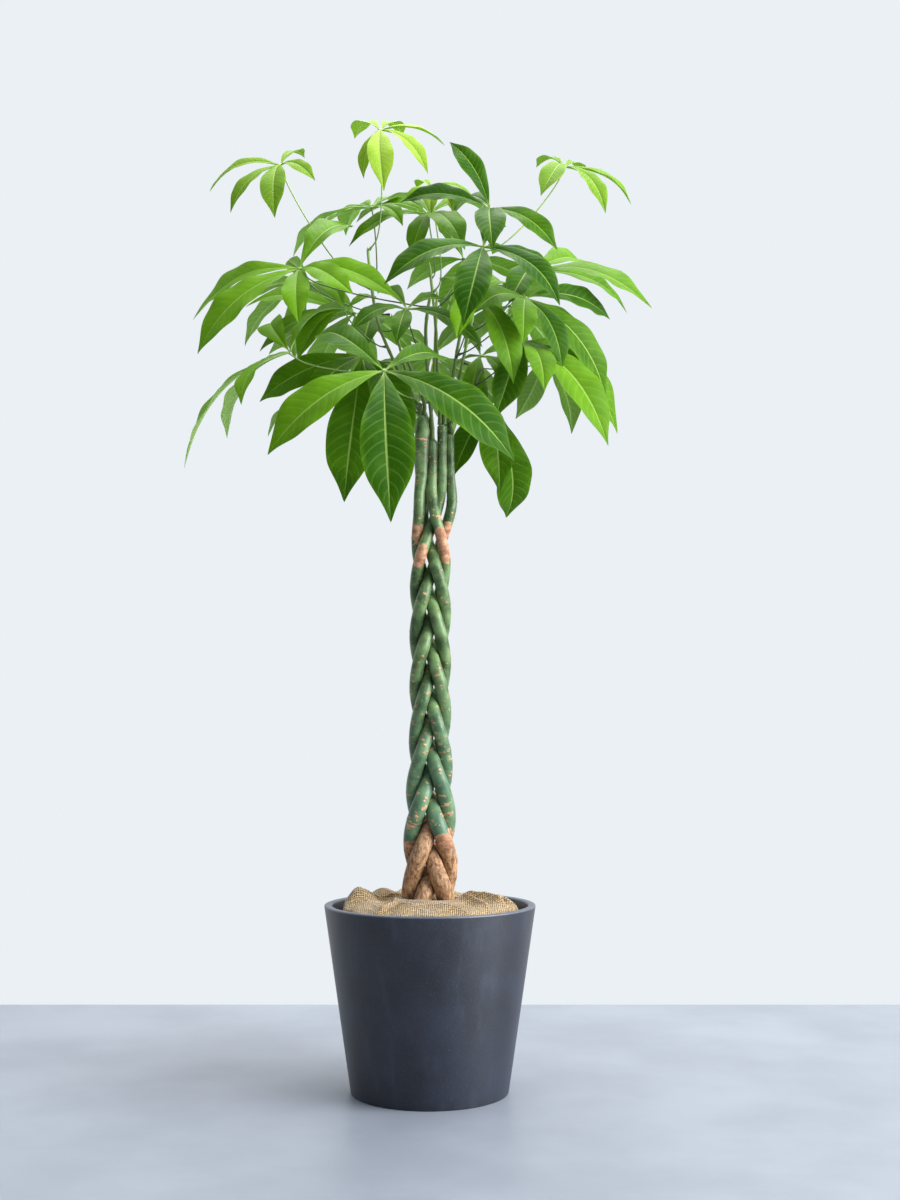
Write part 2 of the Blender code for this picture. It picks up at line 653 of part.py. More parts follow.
def main():
    cleared_scene()
    make_planter(finish("charcoal_resin", (0.045, 0.052, 0.066), 0.6))
    make_nursery_pot(finish("black_plastic", (0.02, 0.02, 0.02), 0.5))
    make_soil(finish("potting_soil", (0.045, 0.03, 0.02), 0.95))
    make_burlap_cover(finish("burlap", (0.45, 0.32, 0.16), 0.9))
    make_stems(finish("bark", (0.10, 0.16, 0.07), 0.7))
    make_shoots(finish("green_shoot", (0.10, 0.20, 0.04), 0.5))
    make_leaves(finish("leaf", (0.05, 0.17, 0.02), 0.4), finish("young_leaf", (0.25, 0.45, 0.06), 0.45))


main()
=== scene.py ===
"""The looks of the potted money tree, in metres and +Z up, with -Y as the front.

The frame gives every centre line: a stem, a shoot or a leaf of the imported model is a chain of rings,
and this script reads those rings back and grows a finer surface on them. Leaflets are closed blades
with a midrib, a fold and a wavy margin; stems are round with ring scars; the burlap is one draped sheet.
"""

import json
import math

import bpy
import numpy as np
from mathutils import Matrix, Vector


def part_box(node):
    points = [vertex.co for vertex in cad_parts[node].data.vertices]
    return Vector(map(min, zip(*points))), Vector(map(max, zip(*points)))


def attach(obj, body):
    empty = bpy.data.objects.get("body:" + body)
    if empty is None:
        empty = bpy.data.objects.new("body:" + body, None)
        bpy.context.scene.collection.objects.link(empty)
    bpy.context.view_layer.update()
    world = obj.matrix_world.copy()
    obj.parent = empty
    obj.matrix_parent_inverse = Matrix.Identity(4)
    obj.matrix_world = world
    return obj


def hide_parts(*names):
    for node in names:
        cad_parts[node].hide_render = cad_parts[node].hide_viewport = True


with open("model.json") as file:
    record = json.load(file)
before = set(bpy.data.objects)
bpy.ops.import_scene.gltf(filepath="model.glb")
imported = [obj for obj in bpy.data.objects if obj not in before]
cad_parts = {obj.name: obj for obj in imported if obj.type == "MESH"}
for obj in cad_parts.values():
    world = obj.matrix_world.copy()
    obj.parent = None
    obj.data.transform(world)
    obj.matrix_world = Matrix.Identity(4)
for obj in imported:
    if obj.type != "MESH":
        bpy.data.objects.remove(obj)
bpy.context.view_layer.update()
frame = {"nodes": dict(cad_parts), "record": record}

MM = 0.001
TURN = math.tau


# ---------------------------------------------------------------- small helpers


def colour(code):
    """An sRGB hex colour as linear red, green, blue and alpha."""
    channels = [int(code[k:k + 2], 16) / 255 for k in (1, 3, 5)]
    linear = [c / 12.92 if c <= 0.04045 else ((c + 0.055) / 1.055) ** 2.4 for c in channels]
    return (*linear, 1.0)


def unit(vectors):
    """Each vector divided by its length."""
    return vectors / np.linalg.norm(vectors, axis=-1, keepdims=True)


def beyond(vectors, axis):
    """The part of each vector that is square to the axis."""
    return vectors - axis * np.sum(vectors * axis, axis=-1, keepdims=True)


def ease(value, low, high):
    """0 below low, 1 above high, and 3t^2 - 2t^3 between them."""
    part = np.clip((value - low) / (high - low), 0, 1)
    return part * part * (3 - 2 * part)


def through(points, count):
    """A smooth line through the given points, read at even steps (Catmull-Rom)."""
    points = np.asarray(points, float)
    knots = np.vstack([2 * points[0] - points[1], points, 2 * points[-1] - points[-2]])
    place = np.linspace(0, len(points) - 1, count)
    piece = np.minimum(place.astype(int), len(points) - 2)
    t = (place - piece)[:, None]
    a, b, c, d = (knots[piece + k] for k in range(4))
    return 0.5 * (2 * b + (c - a) * t + (2 * a - 5 * b + 4 * c - d) * t ** 2
                  + (3 * b - 3 * c + d - a) * t ** 3)


def carried_sides(path):
    """Along, first and second directions at each point of a path, carried along it without twisting."""
    along = unit(np.gradient(path, axis=0))
    start = np.array([1.0, 0, 0]) if abs(along[0][0]) < 0.8 else np.array([0, 1.0, 0])
    first = np.empty_like(path)
    for k, way in enumerate(along):
        start = unit(beyond(start, way))
        first[k] = start
    return along, first, np.cross(along, first)


class Shell:
    """The surfaces of one piece: points, faces, and each face corner's UV, finish and tone."""

    def __init__(self):
        self.points, self.faces, self.uvs, self.finishes = [], [], [], []
        # the second mark is painted shade, darkening the bark where the plaited stems press together
        self.marks = {"tone": [], "crease_shade": []}
        self.count = 0

    def tube(self, rings, uv, finish, tone=0.5, ends=None, crease_shade=0.0):
        """Closes a grid of rings, rows by columns by 3, into a tube with a point at each end.

        uv is rows by columns + 1 by 2, so that a pattern can go all the way round. finish is one number,
        or one for each column. tone, and the painted shade in the creases between plaited stems, are one
        number, or one for each row and column.
        """
        rows, columns = rings.shape[:2]
        first, last = ends if ends is not None else (rings[0].mean(0), rings[-1].mean(0))
        self.points += [rings.reshape(-1, 3), np.array([first, last])]
        for name, value in (("tone", tone), ("crease_shade", crease_shade)):
            values = np.broadcast_to(value, (rows, columns))
            self.marks[name] += [values.reshape(-1), values[[0, -1], 0]]
        row, column = np.mgrid[0:rows - 1, 0:columns]
        after = (column + 1) % columns
        quads = np.stack([row * columns + column, row * columns + after,
                          (row + 1) * columns + after, (row + 1) * columns + column], -1)
        corners = np.stack([uv[row, column], uv[row, column + 1],
                            uv[row + 1, column + 1], uv[row + 1, column]], -2)
        self.faces.append(quads.reshape(-1, 4) + self.count)
        self.uvs.append(corners.reshape(-1, 4, 2))
        side = np.broadcast_to(finish, (rows - 1, columns))
        self.finishes.append(side.reshape(-1))
        ring, nearby = np.arange(columns), (np.arange(columns) + 1) % columns
        closing = ((0, rows * columns, 0, True), ((rows - 1) * columns, rows * columns + 1, -1, False))
        for start, pole, at, flip in closing:
            caps = np.stack([start + ring, start + nearby, np.full(columns, pole)], -1) + self.count
            spots = np.stack([uv[at, ring], uv[at, ring + 1], uv[at, ring]], -2)
            self.faces.append(caps[:, ::-1] if flip else caps)
            self.uvs.append(spots[:, ::-1] if flip else spots)
            self.finishes.append(np.broadcast_to(finish, (columns,)))
        self.count += rows * columns + 2

    def made(self, name, materials, node, slot, sharp=65):
        """The finished object, which stands for its CAD node."""
        mesh = bpy.data.meshes.new(name)
        faces = [tuple(face) for group in self.faces for face in group.tolist()]
        mesh.from_pydata(np.concatenate(self.points).tolist(), [], faces)
        flat = np.concatenate([group.reshape(-1) for group in self.uvs])
        mesh.uv_layers.new(name="UVMap").data.foreach_set("uv", flat.astype(np.float32))
        for mark, values in self.marks.items():
            mesh.attributes.new(mark, "FLOAT", "POINT").data.foreach_set("value", np.concatenate(values))
        for material in materials:
            mesh.materials.append(material)
        mesh.polygons.foreach_set("material_index", np.concatenate(self.finishes).astype(np.int32))
        mesh.shade_smooth()
        mesh.set_sharp_from_angle(angle=math.radians(sharp))
        piece = bpy.data.objects.new(name, mesh)
        bpy.context.collection.objects.link(piece)
        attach(piece, "root")
        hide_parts(node)


def round_rings(path, radii, columns):
    """Rings round a path: each point is the centre plus its radius times cos and sin of its turn.

    radii is one value for each row, or one for each row and column.
    """
    _, first, second = carried_sides(path)
    turns = np.arange(columns) * TURN / columns
    radii = np.asarray(radii)
    reach = (radii[:, None] if radii.ndim == 1 else radii)[..., None]
    return path[:, None] + reach * (np.cos(turns)[:, None] * first[:, None]
                                    + np.sin(turns)[:, None] * second[:, None])


def length_along(path):
    """How far along a path each of its points lies."""
    return np.concatenate([[0], np.cumsum(np.linalg.norm(np.diff(path, axis=0), axis=1))])


def round_uv(path, radius, columns):
    """UV in metres: across is the way round at the mean radius, and along is the path's length."""
    across = np.linspace(0, TURN * radius, columns + 1)
    return np.stack(np.meshgrid(across, length_along(path)), -1)


# ---------------------------------------------------------------- reading the frame


def joined(node):
    """A CAD node's corners and triangles, with corners that coincide made one."""
    mesh = frame["nodes"][node].data
    points = np.empty(3 * len(mesh.vertices))
    mesh.vertices.foreach_get("co", points)
    mesh.calc_loop_triangles()
    triangles = np.empty(3 * len(mesh.loop_triangles), np.int32)
    mesh.loop_triangles.foreach_get("vertices", triangles)
    points = points.reshape(-1, 3)
    _, kept, index = np.unique(np.round(points, 5), axis=0, return_index=True, return_inverse=True)
    return points[kept], index.reshape(-1)[triangles].reshape(-1, 3)


def steps_from(seeds, triangles, count):
    """How many edges each corner is from the nearest seed."""
    pairs = np.concatenate([triangles[:, [a, b]] for a in range(3) for b in range(3) if a != b])
    steps = np.full(count, -1)
    steps[seeds] = 0
    for step in range(1, count):
        reached = pairs[steps[pairs[:, 0]] == step - 1, 1]
        reached = reached[steps[reached] < 0]
        if not len(reached):
            break
        steps[reached] = step
    return steps


def chain_of(node, from_top):
    """Ring centres and radii of a CAD tube, from its lower end to its upper end.

    The rings are counted down from the tube's highest corners, of which there are from_top.
    """
    points, triangles = joined(node)
    seeds = np.argsort(points[:, 2])[-from_top:]
    steps = steps_from(seeds, triangles, len(points))
    rings = [points[steps == step] for step in range(steps.max() + 1)]
    centres = np.array([ring.mean(0) for ring in rings])[::-1]
    radii = np.array([np.linalg.norm(ring - ring.mean(0), axis=1).mean() for ring in rings])[::-1]
    return centres, radii


def corner_sums(points, triangles):
    """The sum of the face angles at each corner: small at a point, a full turn on a flat stretch."""
    sums = np.zeros(len(points))
    for k in range(3):
        here, left, right = (points[triangles[:, (k + j) % 3]] for j in range(3))
        cosine = np.sum(unit(left - here) * unit(right - here), axis=1)
        np.add.at(sums, triangles[:, k], np.arccos(np.clip(cosine, -1, 1)))
    return sums


def leaf_plan(node):
    """A CAD leaf's petiole line, hub, axis, and for each leaflet its root, tip, middle and breadth."""
    points, triangles = joined(node)
    tips = np.flatnonzero(corner_sums(points, triangles) < math.radians(150))
    steps = steps_from(tips, triangles, len(points))
    pairs = np.concatenate([triangles[:, [a, b]] for a in range(3) for b in range(3) if a != b])
    hub = points[steps == 4].mean(0)
    stalk = [points[steps == step].mean(0) for step in range(steps.max(), 4, -1)]
    leaflets = []
    for tip in tips:
        inner, sections = np.array([tip]), []
        for step in range(1, 5):
            near = np.unique(pairs[np.isin(pairs[:, 0], inner), 1])
            inner = near[steps[near] == step]
            sections.append(points[inner])
        wide = sections[1]
        gaps = np.linalg.norm(wide[:, None] - wide[None], axis=2)
        root, middle = sections[3].mean(0), wide.mean(0)
        leaflets.append((root, points[tip], middle, gaps.max()))
    return np.array(stalk), hub, unit(hub - stalk[-1]), leaflets


# ---------------------------------------------------------------- materials

# Side veins of a leaflet: pairs of them, how far each slants and curves forward, and by what part of a
# gap the two halves are out of step
VEIN_PAIRS = 14
VEIN_SLANT = 0.06
VEIN_CURVE = 0.07
VEIN_STAGGER = 0.4


def add(tree, kind, sockets=None, out=0, **settings):
    """Adds one node and gives back one of its outputs.

    Settings are the node's own properties, and each of its sockets is given a value or an output.
    """
    made = tree.nodes.new("ShaderNode" + kind)
    for name, value in settings.items():
        setattr(made, name, value)
    for name, value in (sockets or {}).items():
        if isinstance(value, bpy.types.NodeSocket):
            tree.links.new(value, made.inputs[name])
        else:
            made.inputs[name].default_value = value
    return made.outputs[out]


def started(name, roughness, **values):
    """A new material with its shader's own sockets set, its node tree, and its shader."""
    material = bpy.data.materials.new(name)
    material.use_nodes = True
    tree = material.node_tree
    shader = tree.nodes["Principled BSDF"]
    shader.inputs["Roughness"].default_value = roughness
    for socket, value in values.items():
        shader.inputs[socket.replace("_", " ")].default_value = value
    return material, tree, shader


def summed(tree, parts, start=0.0):
    """The start, plus each pattern times its weight."""
    total = start
    for pattern, weight in parts:
        total = add(tree, "Math", {0: pattern, 1: weight, 2: total}, operation="MULTIPLY_ADD")
    return total


def tinted(tree, base, tint, mask, most=1.0, span=None):
    """Lays a tint over a base colour, by a mask from 0 to 1 times the most it may cover.

    With a span, the mask is first drawn out smoothly: 0 at the span's first value, 1 at its second.
    """
    if span:
        mask = add(tree, "MapRange", {"Value": mask, "From Min": span[0], "From Max": span[1]},
                   interpolation_type="SMOOTHSTEP")
    share = add(tree, "Math", {0: mask, 1: most}, operation="MULTIPLY")
    return add(tree, "Mix", {0: share, 6: base, 7: tint}, out=2, data_type="RGBA")


def mottled(tree, size, detail=3.0, rough=0.55, stretch=(1, 1, 1), place=None):
    """Cloudy blotches about the given size across, drawn out along each axis and fixed to the piece."""
    if place is None:
        place = add(tree, "TexCoord", out="Object")
    place = add(tree, "Mapping", {"Vector": place, "Scale": [1 / s for s in stretch]})
    return add(tree, "TexNoise", {"Vector": place, "Scale": 1 / size, "Detail": detail,
                                  "Roughness": rough})


def dressed(tree, shader, skin, relief, depth, strength=1.0):
    """Gives a shader its colour and its relief, read over a wide step so that it doesn't glitter."""
    tree.links.new(skin, shader.inputs["Base Color"])
    bump = add(tree, "Bump", {"Height": relief, "Distance": depth, "Strength": strength,
                              "Filter Width": 1.0})
    tree.links.new(bump, shader.inputs["Normal"])


def translucent(tree, shader, light, amount):
    """Lets part of the light through to the other side, tinted by the blade's own colour."""
    through_blade = add(tree, "BsdfTranslucent", {"Color": light})
    mixed = add(tree, "MixShader", {0: amount, 1: shader.outputs[0], 2: through_blade})
    tree.links.new(mixed, tree.nodes["Material Output"].inputs["Surface"])


def leaf_veins(tree, rib, vein):
    """Masks of a leaflet's midrib and side veins, from its UV: how far along, and from edge to edge.

    A side vein leaves the midrib at about 60 degrees and curves towards the tip. Its line is where
    along, less the slant times the edge part and the curve times its square, is a whole number of gaps.
    """
    place = add(tree, "SeparateXYZ", {0: add(tree, "UVMap", uv_map="UVMap")}).node.outputs
    along, side = place[0], place[1]
    edge = add(tree, "Math", {0: summed(tree, [(side, 2.0)], -1.0)}, operation="ABSOLUTE")
    bend = add(tree, "Math", {0: edge, 1: summed(tree, [(edge, VEIN_CURVE)], VEIN_SLANT)},
               operation="MULTIPLY")
    far_half = add(tree, "Math", {0: side, 1: 0.5}, operation="GREATER_THAN")
    line = summed(tree, [(along, VEIN_PAIRS), (bend, -VEIN_PAIRS), (far_half, VEIN_STAGGER)])
    wave = add(tree, "Math", {0: line, 1: 0.5}, operation="PINGPONG")
    side_veins = add(tree, "MapRange", {"Value": wave, "From Min": vein, "From Max": 0.0},
                     interpolation_type="SMOOTHSTEP")
    midrib = add(tree, "MapRange", {"Value": edge, "From Min": rib, "From Max": rib * 0.35},
                 interpolation_type="SMOOTHSTEP")
    return along, edge, wave, side_veins, midrib


def leaf_upper(name, dark, light, yellow, rough, glow, gloss):
    """Upper side of a leaflet: a waxy skin, so it has a soft sheen over a deep green. The midrib is a
    pale line about 2 mm wide, the side veins are paler and sunk, and the blade swells between them."""
    material, tree, shader = started(name, rough, Specular_IOR_Level=gloss, IOR=1.4)
    along, edge, wave, veins, midrib = leaf_veins(tree, 0.055, 0.14)
    tone = add(tree, "Attribute", out="Fac", attribute_name="tone")
    cloud = mottled(tree, 35 * MM)
    shade = summed(tree, [(tone, 1.0), (cloud, 0.55)], -0.275)
    blade = tinted(tree, colour(dark), colour(light), shade, span=(0.05, 0.95))
    blade = tinted(tree, blade, colour(light), edge, 0.25, (0.75, 1.0))
    blade = tinted(tree, blade, colour(yellow), veins, 0.14)
    blade = tinted(tree, blade, colour(yellow), along, 0.6, (0.12, 0.0))
    blade = tinted(tree, blade, colour(yellow), midrib, 0.75)
    between = add(tree, "MapRange", {"Value": wave, "From Min": 0.0, "From Max": 0.5},
                  interpolation_type="SMOOTHSTEP")
    inside = add(tree, "MapRange", {"Value": edge, "From Min": 1.0, "From Max": 0.7},
                 interpolation_type="SMOOTHSTEP")
    swell = add(tree, "Math", {0: between, 1: inside}, operation="MULTIPLY")
    dressed(tree, shader, blade, summed(tree, [(swell, 1.0), (midrib, -0.8)]), 0.2 * MM, 0.6)
    translucent(tree, shader, tinted(tree, blade, colour(glow), 0.55), 0.42)
    return material


def leaf_under(name, dark, light, rib, glow):
    """Underside of a leaflet: matt and paler, because air lies under its skin, with raised veins."""
    material, tree, shader = started(name, 0.62, Specular_IOR_Level=0.14, IOR=1.4)
    _, _, _, veins, midrib = leaf_veins(tree, 0.07, 0.12)
    tone = add(tree, "Attribute", out="Fac", attribute_name="tone")
    shade = summed(tree, [(tone, 0.6), (mottled(tree, 30 * MM), 0.4)])
    blade = tinted(tree, colour(dark), colour(light), shade)
    blade = tinted(tree, blade, colour(rib), veins, 0.45)
    blade = tinted(tree, blade, colour(rib), midrib, 0.9)
    dressed(tree, shader, blade, summed(tree, [(veins, 0.6), (midrib, 1.0)]), 0.4 * MM, 0.6)
    translucent(tree, shader, tinted(tree, blade, colour(glow), 0.5), 0.45)
    return material


def stalk_skin(name, dark, light):
    """Green shoot and petiole: a smooth young skin with faint lengthwise fibres and a low sheen."""
    material, tree, shader = started(name, 0.42, Specular_IOR_Level=0.45)
    turned = add(tree, "UVMap", uv_map="UVMap")
    fibres = mottled(tree, 3 * MM, 3.0, 0.6, (1, 9, 1), turned)
    cloud = mottled(tree, 60 * MM)
    tone = add(tree, "Attribute", out="Fac", attribute_name="tone")
    shade = summed(tree, [(fibres, 0.35), (cloud, 0.4), (tone, 0.4)])
    skin = tinted(tree, colour(dark), colour(light), shade, span=(0.25, 0.85))
    dressed(tree, shader, skin, fibres, 0.3 * MM, 0.5)
    return material


def tree_bark():
    """Bark of the plaited stems: smooth green skin that still holds chlorophyll, split by tan corky
    patches and short cross-wise pores 4 to 8 mm long, and turned wholly to rough brown cork at the foot.
    The tone attribute says how corky each place is: a patch from about 0.5, and the brown foot from
    about 1.4. Blotches break up both edges. A second attribute paints shade, a near-black brown, into
    the creases where the stems press together."""
    material, tree, shader = started("green_and_corky_bark", 0.5, Specular_IOR_Level=0.4)
    place = add(tree, "TexCoord", out="Object")
    turned = add(tree, "UVMap", uv_map="UVMap")
    tone = add(tree, "Attribute", out="Fac", attribute_name="tone")
    crease_shade = add(tree, "Attribute", out="Fac", attribute_name="crease_shade")
    height = add(tree, "SeparateXYZ", {0: place}, out=2)
    wide = mottled(tree, 26 * MM, 4.0)
    patchy = mottled(tree, 9 * MM, 4.0, 0.6, (1.6, 1.6, 1))
    grain = mottled(tree, 2.4 * MM, 3.0, 0.65, (1, 1, 1.8))
    streaks = mottled(tree, 5 * MM, 4.0, 0.65, (1, 1, 3))
    green = tinted(tree, colour("#2f4720"), colour("#6c8752"), wide, span=(0.32, 0.68))
    green = tinted(tree, green, colour("#8fa878"), grain, 0.35, (0.5, 0.75))
    green = tinted(tree, green, colour("#527a68"), height, 0.4, (0.75, 0.45))
    cork = tinted(tree, colour("#8c5a3a"), colour("#c69a76"), patchy, span=(0.35, 0.68))
    brown = tinted(tree, colour("#6a452a"), colour("#b68e66"), streaks, span=(0.34, 0.64))
    brown = tinted(tree, brown, colour("#c69c72"), wide, 0.5, (0.5, 0.7))
    brown = tinted(tree, brown, colour("#3a2616"), grain, 0.35, (0.5, 0.66))
    cells = add(tree, "Mapping", {"Vector": turned, "Scale": (1 / (15 * MM), 1 / (8 * MM), 1)})
    middle = add(tree, "TexVoronoi", {"Vector": cells, "Scale": 1.0}, out="Distance")
    pore = add(tree, "MapRange", {"Value": middle, "From Min": 0.30, "From Max": 0.12},
               interpolation_type="SMOOTHSTEP")
    seldom = add(tree, "MapRange", {"Value": mottled(tree, 16 * MM, 1.0), "From Min": 0.47,
                                    "From Max": 0.53}, interpolation_type="SMOOTHSTEP")
    pore = add(tree, "Math", {0: pore, 1: seldom}, operation="MULTIPLY")
    uneven = summed(tree, [(patchy, 1.5), (wide, 0.8)], -1.15)
    corky = add(tree, "MapRange", {"Value": summed(tree, [(tone, 1.0), (uneven, 1.0)]),
                                   "From Min": 0.46, "From Max": 0.56}, interpolation_type="SMOOTHSTEP")
    foot = add(tree, "MapRange", {"Value": summed(tree, [(tone, 1.0), (uneven, 1.5)]),
                                  "From Min": 1.36, "From Max": 1.6}, interpolation_type="SMOOTHSTEP")
    skin = tinted(tree, green, colour("#b8805a"), pore, 0.85)
    skin = tinted(tree, skin, cork, corky)
    skin = tinted(tree, skin, brown, foot)
    # painted shade, a near-black brown, in the creases where the stems press together
    skin = tinted(tree, skin, colour("#241a0e"), crease_shade, 0.75)
    dry = add(tree, "Math", {0: foot, 1: corky}, operation="MAXIMUM")
    tree.links.new(summed(tree, [(dry, 0.25)], 0.38), shader.inputs["Roughness"])
    cracks = add(tree, "Math", {0: grain, 1: summed(tree, [(foot, 1.6)], 0.25)}, operation="MULTIPLY")
    relief = summed(tree, [(cracks, 1.0), (pore, 0.5), (corky, 0.5)])
    dressed(tree, shader, skin, relief, 1.3 * MM, 0.8)
    return material


def cast_resin():
    """Planter of stone powder cast in resin: matt charcoal with a bluish bloom, cloudy where the mould
    release dried, finely pitted, and with a painted highlight, a paler band, along the top of its rim."""
    material, tree, shader = started("cast_stone_resin", 0.42, Specular_IOR_Level=0.6)
    height = add(tree, "SeparateXYZ", {0: add(tree, "TexCoord", out="Object")}, out=2)
    cloud = mottled(tree, 90 * MM, 5.0, 0.6)
    streak = mottled(tree, 30 * MM, 3.0, 0.5, (1, 1, 3))
    grit = mottled(tree, 2.2 * MM, 2.0, 0.6)
    body = tinted(tree, colour("#10131c"), colour("#1e2330"), cloud, span=(0.3, 0.72))
    body = tinted(tree, body, colour("#363d4c"), streak, 0.3, (0.5, 0.75))
    body = tinted(tree, body, colour("#495061"), grit, 0.25, (0.55, 0.75))
    # painted highlight: a paler band just under the top of the rim
    body = tinted(tree, body, colour("#737a88"), height, 0.4, (306.5 * MM, 308.8 * MM))
    tree.links.new(summed(tree, [(cloud, 0.24)], 0.3), shader.inputs["Roughness"])
    dressed(tree, shader, body, summed(tree, [(grit, 1.0), (cloud, 1.0)]), 0.5 * MM, 0.5)
    return material


def moulded_plastic():
    """Nursery pot: thin black polypropylene, moulded, with a faint orange-peel skin."""
    material, tree, shader = started("moulded_polypropylene", 0.42, IOR=1.49)
    dust = mottled(tree, 20 * MM, 4.0)
    skin = tinted(tree, colour("#17181a"), colour("#2b2a28"), dust, span=(0.45, 0.8))
    dressed(tree, shader, skin, mottled(tree, 1.5 * MM), 0.15 * MM, 0.4)
    return material


def potting_mix():
    """Soil: peat and bark crumbs about 5 mm across, so dark, matt and lumpy, with grains of perlite."""
    material, tree, shader = started("peat_potting_mix", 0.95, Specular_IOR_Level=0.2)
    place = add(tree, "TexCoord", out="Object")
    crumbs = add(tree, "TexVoronoi", {"Vector": place, "Scale": 1 / (5 * MM)}, out="Distance")
    shade = mottled(tree, 9 * MM, 4.0)
    ground = tinted(tree, colour("#1e1610"), colour("#49382a"), shade, span=(0.3, 0.7))
    ground = tinted(tree, ground, colour("#a79c8c"), crumbs, span=(0.12, 0.05))
    dressed(tree, shader, ground, summed(tree, [(shade, 1.0), (crumbs, -1.0)]), 3 * MM)
    return material


def jute_weave():
    """Burlap: plain-woven jute with a thread about every 2.4 mm, drawn every 3.2 mm so that it still
    shows. Threads are uneven, hairy and matt, with darker gaps between them."""
    gap = 3.2 * MM
    material, tree, shader = started("jute_burlap", 0.93, Specular_IOR_Level=0.15, Sheen_Weight=0.25)
    cloth = add(tree, "UVMap", uv_map="UVMap")
    wobble = add(tree, "TexNoise", {"Vector": cloth, "Scale": 1 / (30 * MM), "Detail": 2.0}, out="Color")
    moved = add(tree, "VectorMath", {0: wobble, 1: (0.5, 0.5, 0.5)}, operation="SUBTRACT")
    moved = add(tree, "VectorMath", {0: moved, "Scale": 6 * MM}, operation="SCALE")
    cloth = add(tree, "VectorMath", {0: cloth, 1: moved}, operation="ADD")
    threads = []
    for across in add(tree, "SeparateXYZ", {0: cloth}).node.outputs[:2]:
        phase = add(tree, "Math", {0: across, 1: TURN / gap}, operation="MULTIPLY")
        wave = add(tree, "Math", {0: phase}, operation="SINE")
        threads.append(summed(tree, [(wave, 0.5)], 0.5))
    over = add(tree, "Math", {0: threads[0], 1: threads[1]}, operation="MAXIMUM")
    under = add(tree, "Math", {0: threads[0], 1: threads[1]}, operation="MULTIPLY")
    weave = summed(tree, [(over, 0.65), (under, 0.35)])
    slub = mottled(tree, 5 * MM, 4.0, 0.65)
    shade = mottled(tree, 40 * MM)
    jute = tinted(tree, colour("#755c3e"), colour("#b99c6e"), slub, span=(0.3, 0.7))
    jute = tinted(tree, jute, colour("#c6b08c"), shade, 0.35, (0.4, 0.7))
    jute = tinted(tree, jute, colour("#46341f"), weave, span=(0.56, 0.22))
    dressed(tree, shader, jute, summed(tree, [(weave, 1.0), (slub, 0.6)]), 1.6 * MM, 0.9)
    return material


# ---------------------------------------------------------------- planter, nursery pot and soil


def lathed(name, node, slot, material, profile, columns=192, sharp=40):
    """A profile of (radius, height), from the axis underneath round to the axis inside, spun once."""
    profile = np.array(profile)
    turns = np.arange(columns) * TURN / columns
    circle = np.stack([np.cos(turns), np.sin(turns)], -1)
    body = profile[1:-1]
    rings = np.concatenate([body[:, None, :1] * circle, np.repeat(body[:, None, 1:], columns, 1)], -1)
    across = np.linspace(0, TURN * body[:, 0].max(), columns + 1)
    uv = np.stack(np.meshgrid(across, np.linspace(0, 1, len(body))), -1)
    shell = Shell()
    shell.tube(rings, uv, 0, ends=((0, 0, profile[0][1]), (0, 0, profile[-1][1])))
    shell.made(name, [material], node, slot, sharp)


def filleted(corners, radius, steps=6):
    """A profile whose inner corners are rounded: each corner becomes a short curve (quadratic Bezier)."""
    corners = np.array(corners, float)
    rounded = [corners[0]]
    for before, corner, after in zip(corners, corners[1:], corners[2:]):
        reach = min(radius, np.linalg.norm(before - corner) / 2.2, np.linalg.norm(after - corner) / 2.2)
        start = corner + unit(before - corner) * reach
        end = corner + unit(after - corner) * reach
        for t in np.linspace(0, 1, steps):
            rounded.append(start * (1 - t) ** 2 + corner * 2 * t * (1 - t) + end * t ** 2)
    rounded.append(corners[-1])
    return rounded


PLANTER_FOOT = 133 * MM
PLANTER_WALL = 13 * MM
PLANTER_FLOOR = 14 * MM
POT_FOOT = 108 * MM
POT_WALL = 2 * MM
POT_LIP_OUT = 5 * MM
POT_LIP_DEPTH = 9 * MM


def make_planter(material):
    """Straight taper from the foot to the rim, whose flat top and both edges are softly rounded."""
    rim, _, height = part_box("planter")[1]
    inner = PLANTER_FOOT + (rim - PLANTER_FOOT) * PLANTER_FLOOR / height - PLANTER_WALL
    corners = ((0, 0), (PLANTER_FOOT - 4 * MM, 0), (PLANTER_FOOT, 0), (rim, height),
               (rim - PLANTER_WALL, height), (inner, PLANTER_FLOOR), (0, PLANTER_FLOOR))
    lathed("planter_body", "planter", "charcoal_resin", material, filleted(corners, 3.2 * MM), 256)


def make_nursery_pot(material):
    """Thin-walled pot with a turned-out lip, down inside the planter."""
    low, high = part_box("nursery_pot")
    lip, bottom, top = high[0], low[2], high[2]
    outer, under_lip = lip - POT_LIP_OUT, top - POT_LIP_DEPTH
    corners = ((0, bottom), (POT_FOOT, bottom), (outer - 1.2 * MM, under_lip), (lip - 1 * MM, under_lip),
               (lip, under_lip), (lip, top), (outer - POT_WALL, top),
               (POT_FOOT - POT_WALL, bottom + POT_WALL), (0, bottom + POT_WALL))
    lathed("inner_pot", "nursery_pot", "black_plastic", material, filleted(corners, 0.9 * MM, 4), 128)


# ---------------------------------------------------------------- burlap

# Each fold of the cloth: direction in degrees, then distance from the trunk, height, and width along
# and across, in mm
CLOTH_FOLDS = (
    (178, 126, 26, 21, 16),
    (200, 104, 5, 30, 22),
    (140, 116, 14, 34, 26),
    (82, 118, 12, 24, 40),
    (250, 100, 5, 50, 18),
    (322, 108, -3, 46, 15),
    (4, 112, -5, 40, 22),
)
# Narrower creases: where each starts and ends round and out from the trunk, and its height, mm
CLOTH_CREASES = (
    (196, 60, 236, 146, 9.0),
    (150, 62, 172, 134, 9.0),
    (356, 58, 334, 148, 16.0),
    (20, 66, 352, 150, 15.0),
    (336, 60, 314, 146, 15.0),
    (8, 56, 342, 132, 9.0),
    (60, 66, 84, 138, 8.0),
    (262, 96, 300, 148, 8.0),
    (238, 116, 268, 128, 6.0),
    (128, 90, 100, 146, 6.0),
    (30, 66, 10, 148, 10.0),
)


